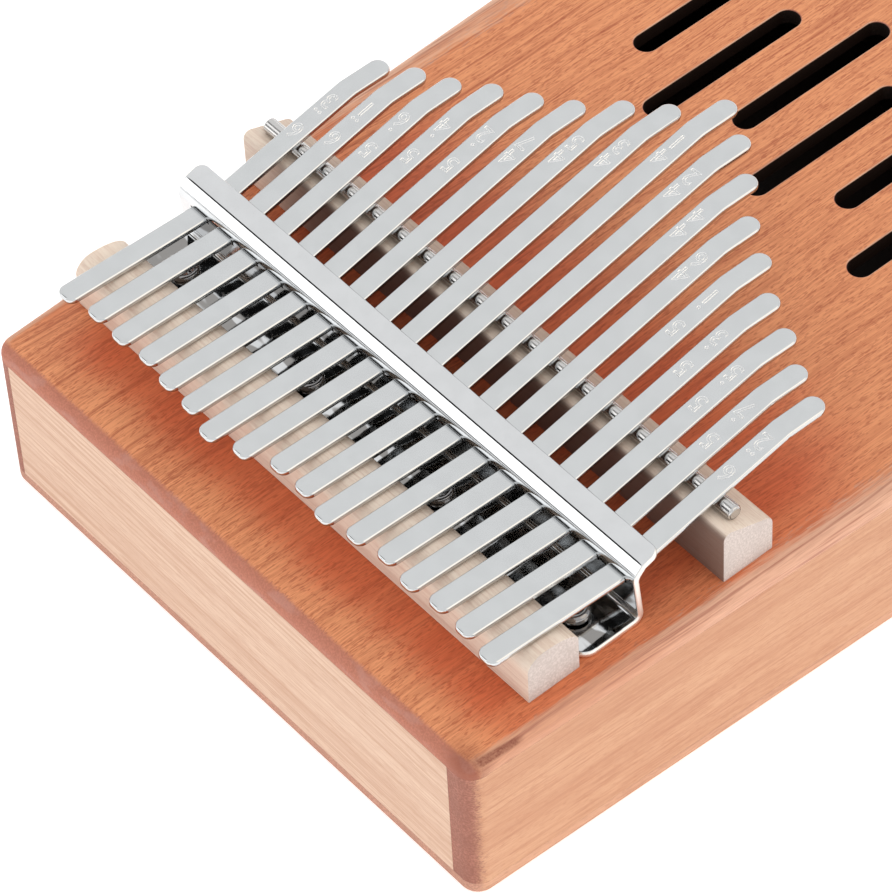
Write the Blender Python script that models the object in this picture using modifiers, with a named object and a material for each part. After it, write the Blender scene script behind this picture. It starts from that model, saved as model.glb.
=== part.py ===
"""Mbira: a seventeen-tine thumb piano on a wedge-shaped wooden sound box.

Metres, +Z up. X runs across the tines, Y from the tail end (-Y) to the front
end (+Y). The origin is the centre of the footprint, on the surface that the
box stands on. Lengths called "from tail" are measured from the tail end.
"""

import math

import bmesh
import bpy
from mathutils import Vector

MM = 0.001

# Sound box
BODY_LENGTH = 186.0 * MM
TAIL_WIDTH = 131.0 * MM
FRONT_WIDTH = 147.0 * MM
BODY_HEIGHT = 36.5 * MM
SOUNDBOARD_THICKNESS = 3.5 * MM
BACK_THICKNESS = 3.0 * MM
SIDE_THICKNESS = 5.8 * MM
END_THICKNESS = 5.5 * MM
CORNER_RADIUS = 3.5 * MM
TOP_ROUNDING = 2.7 * MM
BACK_ROUNDING = 1.0 * MM

# Sound slots
SLOT_COUNT = 7
SLOT_WIDTH = 4.9 * MM
SLOT_LENGTH = 38.5 * MM
SLOT_PITCH = 13.7 * MM
SLOT_FRONT_MARGIN = 13.0 * MM
SLOT_STAGGER = 10.0 * MM

# Brace inside the box, under the bracket's screws
BRACE_DEPTH = 16.0 * MM
BRACE_HEIGHT = 10.0 * MM

# Tines
TINE_PITCH = 7.0 * MM
TINE_WIDTH = 4.0 * MM
TINE_THICKNESS = 1.1 * MM
TINE_LONGEST = 57.4 * MM
TINE_TIP_FLAT = 9.5 * MM
TINE_TAIL_OVERHANG = 9.8 * MM
TINE_BEND_RADIUS = 5.0 * MM
TINE_SWING = math.radians(0.8)
# Angle from each tine to the next: they fan out from the rear bridge
TINE_FAN = math.radians(0.085)
LEFT_LENGTH_EXPONENT = 0.574
RIGHT_LENGTH_EXPONENT = 0.557
# Semitones above the middle tine, for the eight tines on each side of it
LEFT_SEMITONES = (4, 7, 11, 14, 17, 21, 24, 28)
RIGHT_SEMITONES = (2, 5, 9, 12, 16, 19, 23, 26)
# How far the tuning slides each tine towards the front, in mm, from the left tine
TUNING_SHIFTS = (
    -1.3, -0.3, -0.6, -0.1, -1.1, -1.6, -3.3, -1.5, 1.2, 1.1, -0.4, 0.8, 1.9, 1.0, 1.7, 1.4, 0.5,
)

# Rear bridge
REAR_BRIDGE_FROM_TAIL = 17.4 * MM
REAR_BRIDGE_DEPTH = 11.5 * MM
REAR_BRIDGE_HEIGHT = 10.7 * MM
REAR_BRIDGE_SHOULDER = 3.2 * MM
REAR_BRIDGE_OVERHANG = 3.1 * MM

# Front bridge and its rod
FRONT_BRIDGE_FROM_TAIL = 59.2 * MM
FRONT_BRIDGE_DEPTH = 11.5 * MM
FRONT_BRIDGE_HEIGHT = 11.8 * MM
FRONT_BRIDGE_SLOPE = math.radians(21.0)
FRONT_BRIDGE_REAR_ROUNDING = 2.2 * MM
FRONT_BRIDGE_FRONT_ROUNDING = 1.5 * MM
FRONT_BRIDGE_OVERHANG = 6.2 * MM
ROD_DIAMETER = 3.0 * MM
ROD_SETBACK = 4.8 * MM
ROD_LIFT = 0.8 * MM
ROD_OVERHANG = 3.9 * MM
ROD_END_PLAY = 1.2 * MM

# Tine bracket
SHEET_THICKNESS = 1.3 * MM
BRACKET_OVERHANG = 3.1 * MM
FOOT_LENGTH = 12.9 * MM
FOOT_SETBACK = 0.7 * MM
WALL_LEAN = math.radians(5.6)
BAND_FOOT_HEIGHT = 12.3 * MM
BAND_LENGTH = 3.2 * MM
BAND_ANGLE = math.radians(47.0)
FLANGE_LENGTH = 4.1 * MM
FLANGE_ANGLE = math.radians(16.5)
WALL_BEND_RADIUS = 1.5 * MM
BAND_BEND_RADIUS = 2.2 * MM
CREASE_BEND_RADIUS = 2.0 * MM
FOOT_CORNER_RADIUS = 3.0 * MM
FLANGE_CORNER_RADIUS = 2.0 * MM
HOLD_DOWN_HEIGHT = 10.0 * MM
SLOT_SIDE_CLEARANCE = 0.4 * MM

# Bracket screws
SCREW_COUNT = 4
SCREW_END_MARGIN = 8.1 * MM
SCREW_SETBACK = 5.4 * MM
SCREW_HEAD_RADIUS = 2.8 * MM
SCREW_HEAD_HEIGHT = 1.7 * MM
SCREW_SHANK_RADIUS = 1.25 * MM
SCREW_BITE = 6.0 * MM
SCREW_TIP = 2.0 * MM

# Gap between pieces that lie against each other
SEAT_GAP = 0.3 * MM

ROUND_STEPS = 6
HOLE_SIDES = 20

COLLECTION_NAME = "mbira"
CUTTER_COLLECTION_NAME = "mbira_cutters"


# ---------------------------------------------------------------------------
# Sizes that follow from the ones above
# ---------------------------------------------------------------------------

TAPER = math.atan((FRONT_WIDTH - TAIL_WIDTH) / 2 / BODY_LENGTH)
CORNER = min(CORNER_RADIUS, 0.95 * SIDE_THICKNESS)
PLATE_TOP = BODY_HEIGHT
PLATE_UNDERSIDE = BODY_HEIGHT - SOUNDBOARD_THICKNESS

SIDE_COUNT = len(LEFT_SEMITONES)
TINE_FIELD = 2 * SIDE_COUNT * TINE_PITCH + TINE_WIDTH
REAR_BRIDGE_WIDTH = TINE_FIELD + 2 * REAR_BRIDGE_OVERHANG
FRONT_BRIDGE_WIDTH = TINE_FIELD + 2 * FRONT_BRIDGE_OVERHANG
BRACKET_WIDTH = TINE_FIELD + 2 * BRACKET_OVERHANG
ROD_LENGTH = TINE_FIELD + 2 * ROD_OVERHANG
ROD_RADIUS = ROD_DIAMETER / 2
GROOVE_RADIUS = ROD_RADIUS + SEAT_GAP

REAR_CREST_SHARE = 0.33
REAR_CREST_FROM_TAIL = REAR_BRIDGE_FROM_TAIL + REAR_CREST_SHARE * REAR_BRIDGE_DEPTH
REAR_BRIDGE_FRONT = REAR_BRIDGE_FROM_TAIL + REAR_BRIDGE_DEPTH
ROD_FROM_TAIL = FRONT_BRIDGE_FROM_TAIL + ROD_SETBACK
ROD_HEIGHT = FRONT_BRIDGE_HEIGHT + ROD_LIFT

FOOT_TOP = SEAT_GAP + SHEET_THICKNESS
FOOT_REAR = REAR_BRIDGE_FRONT + FOOT_SETBACK
WALL_FOOT_FROM_TAIL = FOOT_REAR + FOOT_LENGTH
WALL_RISE = BAND_FOOT_HEIGHT - FOOT_TOP
BAND_FROM_TAIL = WALL_FOOT_FROM_TAIL - WALL_RISE * math.tan(WALL_LEAN)
WALL_FRONT_AT_SLOT = (
    BAND_FROM_TAIL
    + (BAND_FOOT_HEIGHT - HOLD_DOWN_HEIGHT) * math.tan(WALL_LEAN)
    + SHEET_THICKNESS / math.cos(WALL_LEAN)
)
TINE_BEND_FROM_TAIL = WALL_FRONT_AT_SLOT + SEAT_GAP
SCREW_FROM_TAIL = FOOT_REAR + SCREW_SETBACK
SCREW_DEPTH = FOOT_TOP + SEAT_GAP + SOUNDBOARD_THICKNESS + SEAT_GAP + SCREW_BITE


def tine_rise():
    """Slope of the tines between the bracket and the rod: tangent to the rod."""
    run = ROD_FROM_TAIL - TINE_BEND_FROM_TAIL
    drop = ROD_HEIGHT - HOLD_DOWN_HEIGHT
    reach = math.hypot(run, drop)
    return math.asin((ROD_RADIUS + SEAT_GAP) / reach) + math.atan2(drop, run)


TINE_RISE = tine_rise()
CONTACT_FROM_TAIL = ROD_FROM_TAIL - (ROD_RADIUS + SEAT_GAP) * math.sin(TINE_RISE)
CONTACT_HEIGHT = ROD_HEIGHT + (ROD_RADIUS + SEAT_GAP) * math.cos(TINE_RISE)
# Fall of a tine's straight tail, from the rear bridge's crest to the bracket
TAIL_FALL = (
    (REAR_BRIDGE_HEIGHT + SEAT_GAP - HOLD_DOWN_HEIGHT)
    / (TINE_BEND_FROM_TAIL - REAR_CREST_FROM_TAIL)
)
SLOT_LIFT = (
    (CONTACT_FROM_TAIL - BAND_FROM_TAIL) * math.tan(TINE_SWING)
    + (TINE_BEND_FROM_TAIL - BAND_FROM_TAIL) * TAIL_FALL
)


def y_at(from_tail):
    """World Y of a place measured from the tail end."""
    return from_tail - BODY_LENGTH / 2


def tine_across(index, from_tail):
    """World X of a tine's centre line; the tines fan out from the rear bridge's crest."""
    return index * TINE_PITCH + (from_tail - REAR_CREST_FROM_TAIL) * math.tan(index * TINE_FAN)


def half_width(from_tail, inset=0.0):
    """Half width of the box, less a board thickness square to its side."""
    edge = TAIL_WIDTH / 2 + from_tail * math.tan(TAPER)
    return edge - inset / math.cos(TAPER)


# ---------------------------------------------------------------------------
# Scene, materials and modifiers
# ---------------------------------------------------------------------------

def clear_scene():
    for obj in list(bpy.data.objects):
        bpy.data.objects.remove(obj, do_unlink=True)


def make_collection(name):
    collection = bpy.data.collections.new(name)
    bpy.context.scene.collection.children.link(collection)
    return collection


def make_material(name, colour, roughness, metallic=0.0):
    material = bpy.data.materials.new(name)
    material.use_nodes = True
    shader = material.node_tree.nodes["Principled BSDF"]
    shader.inputs["Base Color"].default_value = (*colour, 1.0)
    shader.inputs["Roughness"].default_value = roughness
    shader.inputs["Metallic"].default_value = metallic
    return material


def move_to_collection(obj, collection):
    for old in list(obj.users_collection):
        old.objects.unlink(obj)
    collection.objects.link(obj)


def mark_as_cutter(obj, cutters):
    move_to_collection(obj, cutters)
    obj.display_type = "WIRE"
    obj.hide_render = True


def cut(obj, cutter):
    modifier = obj.modifiers.new("cut_" + cutter.name, "BOOLEAN")
    modifier.operation = "DIFFERENCE"
    modifier.solver = "EXACT"
    modifier.object = cutter


def round_edges(obj, width, segments=2):
    modifier = obj.modifiers.new("rounded_edges", "BEVEL")
    modifier.width = width
    modifier.segments = segments
    modifier.limit_method = "ANGLE"
    modifier.angle_limit = math.radians(50)


def shade_round(obj):
    obj.data.shade_smooth()
    obj.data.set_sharp_from_angle(angle=math.radians(35))


# ---------------------------------------------------------------------------
# Outlines
# ---------------------------------------------------------------------------

def corner_arc(before, corner, after, radius, steps):
    """Points of a fillet at one corner of a path, or the corner itself."""
    if radius <= 0:
        return [corner]
    to_before = (before - corner).normalized()
    to_after = (after - corner).normalized()
    half_angle = to_before.angle(to_after) / 2
    tangent = radius / math.tan(half_angle)
    centre = corner + (to_before + to_after).normalized() * radius / math.sin(half_angle)
    start = corner + to_before * tangent - centre
    end = corner + to_after * tangent - centre
    sweep = start.angle(end)
    points = []
    for step in range(steps + 1):
        share = step / steps
        blend = math.sin((1 - share) * sweep) * start + math.sin(share * sweep) * end
        points.append(centre + blend / math.sin(sweep))
    return points


def filleted(corners, radii, closed, steps=ROUND_STEPS):
    """A path or outline through 2D corners, each rounded by its own radius."""
    corners = [Vector(corner) for corner in corners]
    count = len(corners)
    points = []
    for index in range(count):
        if not closed and index in (0, count - 1):
            points.append(corners[index])
            continue
        before = corners[index - 1]
        after = corners[(index + 1) % count]
        points += corner_arc(before, corners[index], after, radii[index], steps)
    return points


def solid_from_outline(name, outline, thickness):
    """A flat outline in local XY, filled and extruded half its thickness each way."""
    curve = bpy.data.curves.new(name, "CURVE")
    curve.dimensions = "2D"
    curve.fill_mode = "BOTH"
    curve.extrude = thickness / 2
    spline = curve.splines.new("POLY")
    spline.points.add(len(outline) - 1)
    for point, place in zip(spline.points, outline):
        point.co = (place[0], place[1], 0.0, 1.0)
    spline.use_cyclic_u = True
    holder = bpy.data.objects.new(name + "_outline", curve)
    bpy.context.scene.collection.objects.link(holder)
    graph = bpy.context.evaluated_depsgraph_get()
    mesh = bpy.data.meshes.new_from_object(holder.evaluated_get(graph))
    bpy.data.objects.remove(holder, do_unlink=True)
    bpy.data.curves.remove(curve)
    mesh.name = name
    shell = bmesh.new()
    shell.from_mesh(mesh)
    bmesh.ops.remove_doubles(shell, verts=shell.verts, dist=1e-6)
    bmesh.ops.dissolve_limit(
        shell, angle_limit=math.radians(1), verts=shell.verts, edges=shell.edges
    )
    bmesh.ops.recalc_face_normals(shell, faces=shell.faces)
    shell.to_mesh(mesh)
    shell.free()
    return mesh


def round_rim(mesh, top, radius, segments=4):
    """Round the outer rim of a plate's top face, or of its bottom face."""
    shell = bmesh.new()
    shell.from_mesh(mesh)
    wanted = 1.0 if top else -1.0
    rim = []
    for edge in shell.edges:
        ups = sorted(abs(face.normal.z) for face in edge.link_faces)
        level = all(vert.co.z * wanted > 0 for vert in edge.verts)
        if level and ups[0] < 0.5 < ups[-1]:
            rim.append(edge)
    bmesh.ops.bevel(
        shell, geom=rim, offset=radius, offset_type="OFFSET", segments=segments,
        profile=0.5, affect="EDGES", clamp_overlap=True,
    )
    shell.to_mesh(mesh)
    shell.free()


def place(mesh, name, location, material, collection, rotation=(0.0, 0.0, 0.0)):
    obj = bpy.data.objects.new(name, mesh)
    obj.location = location
    obj.rotation_euler = rotation
    obj.data.materials.clear()
    obj.data.materials.append(material)
    collection.objects.link(obj)
    return obj


# A bar's section is drawn in local XY and turned so that it runs along world X
ALONG_X = (math.radians(90), 0.0, math.radians(90))


def body_outline():
    """The wedge-shaped outline that the soundboard and the back share."""
    half_length = BODY_LENGTH / 2
    corners = [
        (-half_width(0.0), -half_length),
        (half_width(0.0), -half_length),
        (half_width(BODY_LENGTH), half_length),
        (-half_width(BODY_LENGTH), half_length),
    ]
    return filleted(corners, [CORNER] * 4, closed=True)


def side_outline(side):
    """One side board, seen from above; side is -1 for left and +1 for right."""
    half_length = BODY_LENGTH / 2
    corners = [
        (side * half_width(0.0), -half_length),
        (side * half_width(BODY_LENGTH), half_length),
        (side * half_width(BODY_LENGTH, SIDE_THICKNESS), half_length),
        (side * half_width(0.0, SIDE_THICKNESS), -half_length),
    ]
    return filleted(corners, [CORNER, CORNER, 0.0, 0.0], closed=True)


def between_sides(low, high):
    """A board that spans from side board to side board, between two places."""
    inset = SIDE_THICKNESS + SEAT_GAP
    return [
        Vector((-half_width(low, inset), y_at(low))),
        Vector((half_width(low, inset), y_at(low))),
        Vector((half_width(high, inset), y_at(high))),
        Vector((-half_width(high, inset), y_at(high))),
    ]


def rear_bridge_section():
    """Upright bar with a domed top whose crest lies towards the tail."""
    base = SEAT_GAP
    shoulder = REAR_BRIDGE_HEIGHT - REAR_BRIDGE_SHOULDER
    crest = REAR_CREST_SHARE * REAR_BRIDGE_DEPTH
    points = [Vector((0.0, base)), Vector((REAR_BRIDGE_DEPTH, base))]
    steps = 2 * ROUND_STEPS
    for step in range(steps + 1):
        angle = math.pi * step / steps
        reach = crest if angle > math.pi / 2 else REAR_BRIDGE_DEPTH - crest
        along = crest + reach * math.cos(angle)
        points.append(Vector((along, shoulder + REAR_BRIDGE_SHOULDER * math.sin(angle))))
    return points


def front_bridge_section():
    """Upright bar whose top falls away from a rounded crest at the tail side."""
    base = SEAT_GAP
    radius = FRONT_BRIDGE_REAR_ROUNDING
    half_corner = (math.pi / 2 - FRONT_BRIDGE_SLOPE) / 2
    rear_top = FRONT_BRIDGE_HEIGHT - radius + radius / math.tan(half_corner)
    front_top = rear_top - FRONT_BRIDGE_DEPTH * math.tan(FRONT_BRIDGE_SLOPE)
    corners = [
        (0.0, base),
        (FRONT_BRIDGE_DEPTH, base),
        (FRONT_BRIDGE_DEPTH, front_top),
        (0.0, rear_top),
    ]
    return filleted(corners, [0.0, 0.0, FRONT_BRIDGE_FRONT_ROUNDING, radius], closed=True)


# ---------------------------------------------------------------------------
# Bent strips: the tines and the bracket
# ---------------------------------------------------------------------------

def path_lengths(path):
    lengths = [0.0]
    for before, after in zip(path, path[1:]):
        lengths.append(lengths[-1] + (after - before).length)
    return lengths


def point_along(path, lengths, distance):
    for index in range(len(path) - 1):
        if distance <= lengths[index + 1] or index == len(path) - 2:
            span = lengths[index + 1] - lengths[index]
            share = (distance - lengths[index]) / span
            return path[index].lerp(path[index + 1], share)
    return path[-1]


def bent_strip(name, path, width, end_radii, arc_steps):
    """A strip of constant width, laid along a path in the YZ plane.

    The corners at its two ends are rounded by end_radii in the strip's own
    plane. The strip is one face thick; add_thickness gives it its body.
    """
    lengths = path_lengths(path)
    total = lengths[-1]
    stations = {}
    for distance in lengths[1:-1]:
        if end_radii[0] < distance < total - end_radii[1]:
            stations[distance] = width / 2
    for radius, origin, direction in (
        (end_radii[0], 0.0, 1.0),
        (end_radii[1], total, -1.0),
    ):
        first = 0.0 if radius < width / 2 * 0.99 else math.radians(20)
        for step in range(arc_steps + 1):
            angle = first + (math.pi / 2 - first) * step / arc_steps
            inward = radius * (math.cos(first) - math.cos(angle))
            stations[origin + direction * inward] = width / 2 - radius * (1 - math.sin(angle))
    shell = bmesh.new()
    rows = []
    for distance in sorted(stations):
        spot = point_along(path, lengths, distance)
        reach = stations[distance]
        left = shell.verts.new((-reach, spot.x, spot.y))
        right = shell.verts.new((reach, spot.x, spot.y))
        rows.append((left, right))
    for (left, right), (next_left, next_right) in zip(rows, rows[1:]):
        shell.faces.new((left, right, next_right, next_left))
    mesh = bpy.data.meshes.new(name)
    shell.to_mesh(mesh)
    shell.free()
    return mesh


def add_thickness(obj, thickness, upward):
    modifier = obj.modifiers.new("thickness", "SOLIDIFY")
    modifier.thickness = thickness
    modifier.offset = 1.0 if upward else -1.0
    modifier.use_even_offset = True


def semitones(index):
    """Pitch of a tine above the middle one; index runs from -8 to 8."""
    if index == 0:
        return 0
    steps = LEFT_SEMITONES if index < 0 else RIGHT_SEMITONES
    return steps[abs(index) - 1]


def speaking_length(index):
    """From the rod to the tip: a bar's pitch falls with about the square of its length."""
    exponent = LEFT_LENGTH_EXPONENT if index < 0 else RIGHT_LENGTH_EXPONENT
    return TINE_LONGEST * 2 ** (-exponent * semitones(index) / 12)


def tail_place(index):
    """Tail end of a tine, set in or out by its tuning."""
    shift = TUNING_SHIFTS[index + SIDE_COUNT] * MM
    return REAR_CREST_FROM_TAIL - TINE_TAIL_OVERHANG + shift


def tine_path(index):
    """Lower face of a tine, tail to tip, as (from tail, height above the soundboard)."""
    tail = tail_place(index)
    tail_height = HOLD_DOWN_HEIGHT + (TINE_BEND_FROM_TAIL - tail) * TAIL_FALL
    tip = ROD_FROM_TAIL + speaking_length(index)
    tip_bend = tip - TINE_TIP_FLAT
    tip_height = HOLD_DOWN_HEIGHT + (tip_bend - TINE_BEND_FROM_TAIL) * math.tan(TINE_RISE)
    corners = [
        (tail, tail_height),
        (TINE_BEND_FROM_TAIL, HOLD_DOWN_HEIGHT),
        (tip_bend, tip_height),
        (tip, tip_height),
    ]
    radii = [0.0] + [TINE_BEND_RADIUS] * 2 + [0.0]
    return filleted(corners, radii, closed=False, steps=4)


def bracket_path():
    """Upper and tail-side face of the bracket, from its foot to its flange."""
    band_rise = BAND_LENGTH * math.sin(BAND_ANGLE)
    band_run = BAND_LENGTH * math.cos(BAND_ANGLE)
    crease = (BAND_FROM_TAIL + band_run, BAND_FOOT_HEIGHT + band_rise)
    corners = [
        (FOOT_REAR, FOOT_TOP),
        (WALL_FOOT_FROM_TAIL, FOOT_TOP),
        (BAND_FROM_TAIL, BAND_FOOT_HEIGHT),
        crease,
        (
            crease[0] + FLANGE_LENGTH * math.cos(FLANGE_ANGLE),
            crease[1] + FLANGE_LENGTH * math.sin(FLANGE_ANGLE),
        ),
    ]
    radii = [0.0, WALL_BEND_RADIUS, BAND_BEND_RADIUS, CREASE_BEND_RADIUS, 0.0]
    return filleted(corners, radii, closed=False, steps=4)


# ---------------------------------------------------------------------------
# Cutters
# ---------------------------------------------------------------------------

def cylinder_cutter(name, radius, length, location, rotation, cutters):
    bpy.ops.mesh.primitive_cylinder_add(
        vertices=HOLE_SIDES, radius=radius, depth=length, location=location, rotation=rotation
    )
    cutter = bpy.context.object
    cutter.name = name
    mark_as_cutter(cutter, cutters)
    return cutter


def slot_cutters(cutters):
    """Seven round-ended slots; every other one lies nearer the tines."""
    radius = SLOT_WIDTH / 2
    half_length = SLOT_LENGTH / 2
    corners = [
        (-radius, -half_length),
        (radius, -half_length),
        (radius, half_length),
        (-radius, half_length),
    ]
    outline = filleted(corners, [radius * 0.999] * 4, closed=True)
    mesh = solid_from_outline("slot_cutter", outline, 3 * SOUNDBOARD_THICKNESS)
    made = []
    middle = SLOT_COUNT // 2
    for index in range(SLOT_COUNT):
        far = BODY_LENGTH - SLOT_FRONT_MARGIN
        if (index - middle) % 2 == 0:
            far -= SLOT_STAGGER
        cutter = bpy.data.objects.new("slot_cutter_%d" % (index + 1), mesh)
        cutter.location = ((index - middle) * SLOT_PITCH, y_at(far - half_length), PLATE_TOP)
        mark_as_cutter(cutter, cutters)
        made.append(cutter)
    return made


def wall_slot_cutter(cutters):
    """A row of boxes that opens one slot in the bracket's wall for each tine."""
    low = HOLD_DOWN_HEIGHT - SEAT_GAP
    high = HOLD_DOWN_HEIGHT + TINE_THICKNESS + SLOT_LIFT + SEAT_GAP
    middle = WALL_FRONT_AT_SLOT - SHEET_THICKNESS / 2
    first = tine_across(-SIDE_COUNT, middle)
    bpy.ops.mesh.primitive_cube_add(
        size=1.0, location=(first, y_at(middle), PLATE_TOP + (low + high) / 2)
    )
    cutter = bpy.context.object
    cutter.name = "wall_slot_cutter"
    cutter.scale = (TINE_WIDTH + 2 * SLOT_SIDE_CLEARANCE, 2.6 * SHEET_THICKNESS, high - low)
    bpy.ops.object.transform_apply(location=False, rotation=False, scale=True)
    row = cutter.modifiers.new("one_per_tine", "ARRAY")
    row.count = 2 * SIDE_COUNT + 1
    row.use_relative_offset = False
    row.use_constant_offset = True
    row.constant_offset_displace = (-first / SIDE_COUNT, 0.0, 0.0)
    mark_as_cutter(cutter, cutters)
    return cutter


def screw_places():
    reach = BRACKET_WIDTH / 2 - SCREW_END_MARGIN
    step = 2 * reach / (SCREW_COUNT - 1)
    return [-reach + index * step for index in range(SCREW_COUNT)]


def screw_hole_cutters(cutters):
    """Clearance holes down through the foot and the soundboard into the brace."""
    radius = SCREW_SHANK_RADIUS + SEAT_GAP
    top = 2 * FOOT_TOP
    bottom = FOOT_TOP + SEAT_GAP - SCREW_DEPTH - SEAT_GAP
    made = []
    for index, across in enumerate(screw_places()):
        location = (across, y_at(SCREW_FROM_TAIL), PLATE_TOP + (top + bottom) / 2)
        made.append(
            cylinder_cutter(
                "screw_hole_cutter_%d" % (index + 1), radius, top - bottom, location,
                (0.0, 0.0, 0.0), cutters,
            )
        )
    return made


# ---------------------------------------------------------------------------
# Pieces
# ---------------------------------------------------------------------------

def build_box(parts, woods, slots, holes):
    plate = solid_from_outline("soundboard", body_outline(), SOUNDBOARD_THICKNESS)
    round_rim(plate, True, min(TOP_ROUNDING, 0.9 * SOUNDBOARD_THICKNESS))
    height = BODY_HEIGHT - SOUNDBOARD_THICKNESS / 2
    soundboard = place(plate, "soundboard", (0, 0, height), woods["soundboard"], parts)
    for cutter in slots + holes:
        cut(soundboard, cutter)
    shade_round(soundboard)

    back = solid_from_outline("back_plate", body_outline(), BACK_THICKNESS)
    round_rim(back, False, min(BACK_ROUNDING, 0.9 * BACK_THICKNESS))
    back_plate = place(back, "back_plate", (0, 0, BACK_THICKNESS / 2), woods["back"], parts)
    shade_round(back_plate)

    low = BACK_THICKNESS + SEAT_GAP
    board_height = PLATE_UNDERSIDE - SEAT_GAP - low
    board_middle = low + board_height / 2
    for side, name in ((-1, "left_side_board"), (1, "right_side_board")):
        mesh = solid_from_outline(name, side_outline(side), board_height)
        board = place(mesh, name, (0, 0, board_middle), woods["side"], parts)
        shade_round(board)
    for name, start, end in (
        ("tail_end_board", 0.0, END_THICKNESS),
        ("front_end_board", BODY_LENGTH - END_THICKNESS, BODY_LENGTH),
    ):
        mesh = solid_from_outline(name, between_sides(start, end), board_height)
        place(mesh, name, (0, 0, board_middle), woods["end"], parts)

    start = SCREW_FROM_TAIL - BRACE_DEPTH / 2
    mesh = solid_from_outline("bridge_brace", between_sides(start, start + BRACE_DEPTH), BRACE_HEIGHT)
    middle = PLATE_UNDERSIDE - SEAT_GAP - BRACE_HEIGHT / 2
    brace = place(mesh, "bridge_brace", (0, 0, middle), woods["brace"], parts)
    for cutter in holes:
        cut(brace, cutter)


def build_bridges(parts, cutters, materials):
    mesh = solid_from_outline("rear_bridge", rear_bridge_section(), REAR_BRIDGE_WIDTH)
    location = (0, y_at(REAR_BRIDGE_FROM_TAIL), PLATE_TOP)
    rear = place(mesh, "rear_bridge", location, materials["bridge"], parts, ALONG_X)
    shade_round(rear)

    mesh = solid_from_outline("front_bridge", front_bridge_section(), FRONT_BRIDGE_WIDTH)
    location = (0, y_at(FRONT_BRIDGE_FROM_TAIL), PLATE_TOP)
    front = place(mesh, "front_bridge", location, materials["bridge"], parts, ALONG_X)
    rod_place = (0, y_at(ROD_FROM_TAIL), PLATE_TOP + ROD_HEIGHT)
    across = (0.0, math.radians(90), 0.0)
    groove = cylinder_cutter(
        "rod_groove_cutter", GROOVE_RADIUS, ROD_LENGTH + 2 * ROD_END_PLAY, rod_place, across,
        cutters,
    )
    cut(front, groove)
    shade_round(front)

    bpy.ops.mesh.primitive_cylinder_add(
        vertices=HOLE_SIDES, radius=ROD_RADIUS, depth=ROD_LENGTH, location=rod_place,
        rotation=across,
    )
    rod = bpy.context.object
    rod.name = "bridge_rod"
    rod.data.materials.append(materials["rod"])
    move_to_collection(rod, parts)
    round_edges(rod, 0.25 * ROD_RADIUS)
    shade_round(rod)


def build_bracket(parts, material, holes, wall_slots):
    path = [point - Vector((FOOT_REAR, 0.0)) for point in bracket_path()]
    radii = (FOOT_CORNER_RADIUS, FLANGE_CORNER_RADIUS)
    mesh = bent_strip("tine_bracket", path, BRACKET_WIDTH, radii, ROUND_STEPS - 1)
    bracket = place(mesh, "tine_bracket", (0, y_at(FOOT_REAR), PLATE_TOP), material, parts)
    add_thickness(bracket, SHEET_THICKNESS, upward=False)
    cut(bracket, wall_slots)
    for cutter in holes:
        cut(bracket, cutter)
    shade_round(bracket)


def build_screws(parts, material):
    """Pan-head screws, each a turned profile from the top of its head to its point."""
    profile = [
        (0.0, SCREW_HEAD_HEIGHT),
        (0.55 * SCREW_HEAD_RADIUS, SCREW_HEAD_HEIGHT),
        (0.9 * SCREW_HEAD_RADIUS, 0.7 * SCREW_HEAD_HEIGHT),
        (SCREW_HEAD_RADIUS, 0.3 * SCREW_HEAD_HEIGHT),
        (SCREW_HEAD_RADIUS, 0.0),
        (SCREW_SHANK_RADIUS, 0.0),
        (SCREW_SHANK_RADIUS, SCREW_TIP - SCREW_DEPTH),
        (0.0, -SCREW_DEPTH),
    ]
    shell = bmesh.new()
    verts = [shell.verts.new((across, 0.0, height)) for across, height in profile]
    for before, after in zip(verts, verts[1:]):
        shell.edges.new((before, after))
    mesh = bpy.data.meshes.new("bracket_screw")
    shell.to_mesh(mesh)
    shell.free()
    height = PLATE_TOP + FOOT_TOP + SEAT_GAP
    for index, across in enumerate(screw_places()):
        name = "bracket_screw_%d" % (index + 1)
        screw = place(mesh, name, (across, y_at(SCREW_FROM_TAIL), height), material, parts)
        turn = screw.modifiers.new("turned", "SCREW")
        turn.axis = "Z"
        turn.angle = math.radians(360)
        turn.steps = 16
        turn.render_steps = 16
        turn.use_merge_vertices = True
        turn.merge_threshold = 1e-6
        turn.use_smooth_shade = False


def build_tines(parts, material):
    """Seventeen bent strips, each with its origin on its contact line with the rod."""
    for index in range(-SIDE_COUNT, SIDE_COUNT + 1):
        name = "tine_%02d" % (index + SIDE_COUNT + 1)
        path = [
            point - Vector((CONTACT_FROM_TAIL, CONTACT_HEIGHT)) for point in tine_path(index)
        ]
        radius = TINE_WIDTH / 2
        mesh = bent_strip(name, path, TINE_WIDTH, (radius, radius), 4)
        location = (
            tine_across(index, CONTACT_FROM_TAIL),
            y_at(CONTACT_FROM_TAIL),
            PLATE_TOP + CONTACT_HEIGHT,
        )
        tine = place(mesh, name, location, material, parts, (0.0, 0.0, -index * TINE_FAN))
        add_thickness(tine, TINE_THICKNESS, upward=True)
        shade_round(tine)


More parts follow.
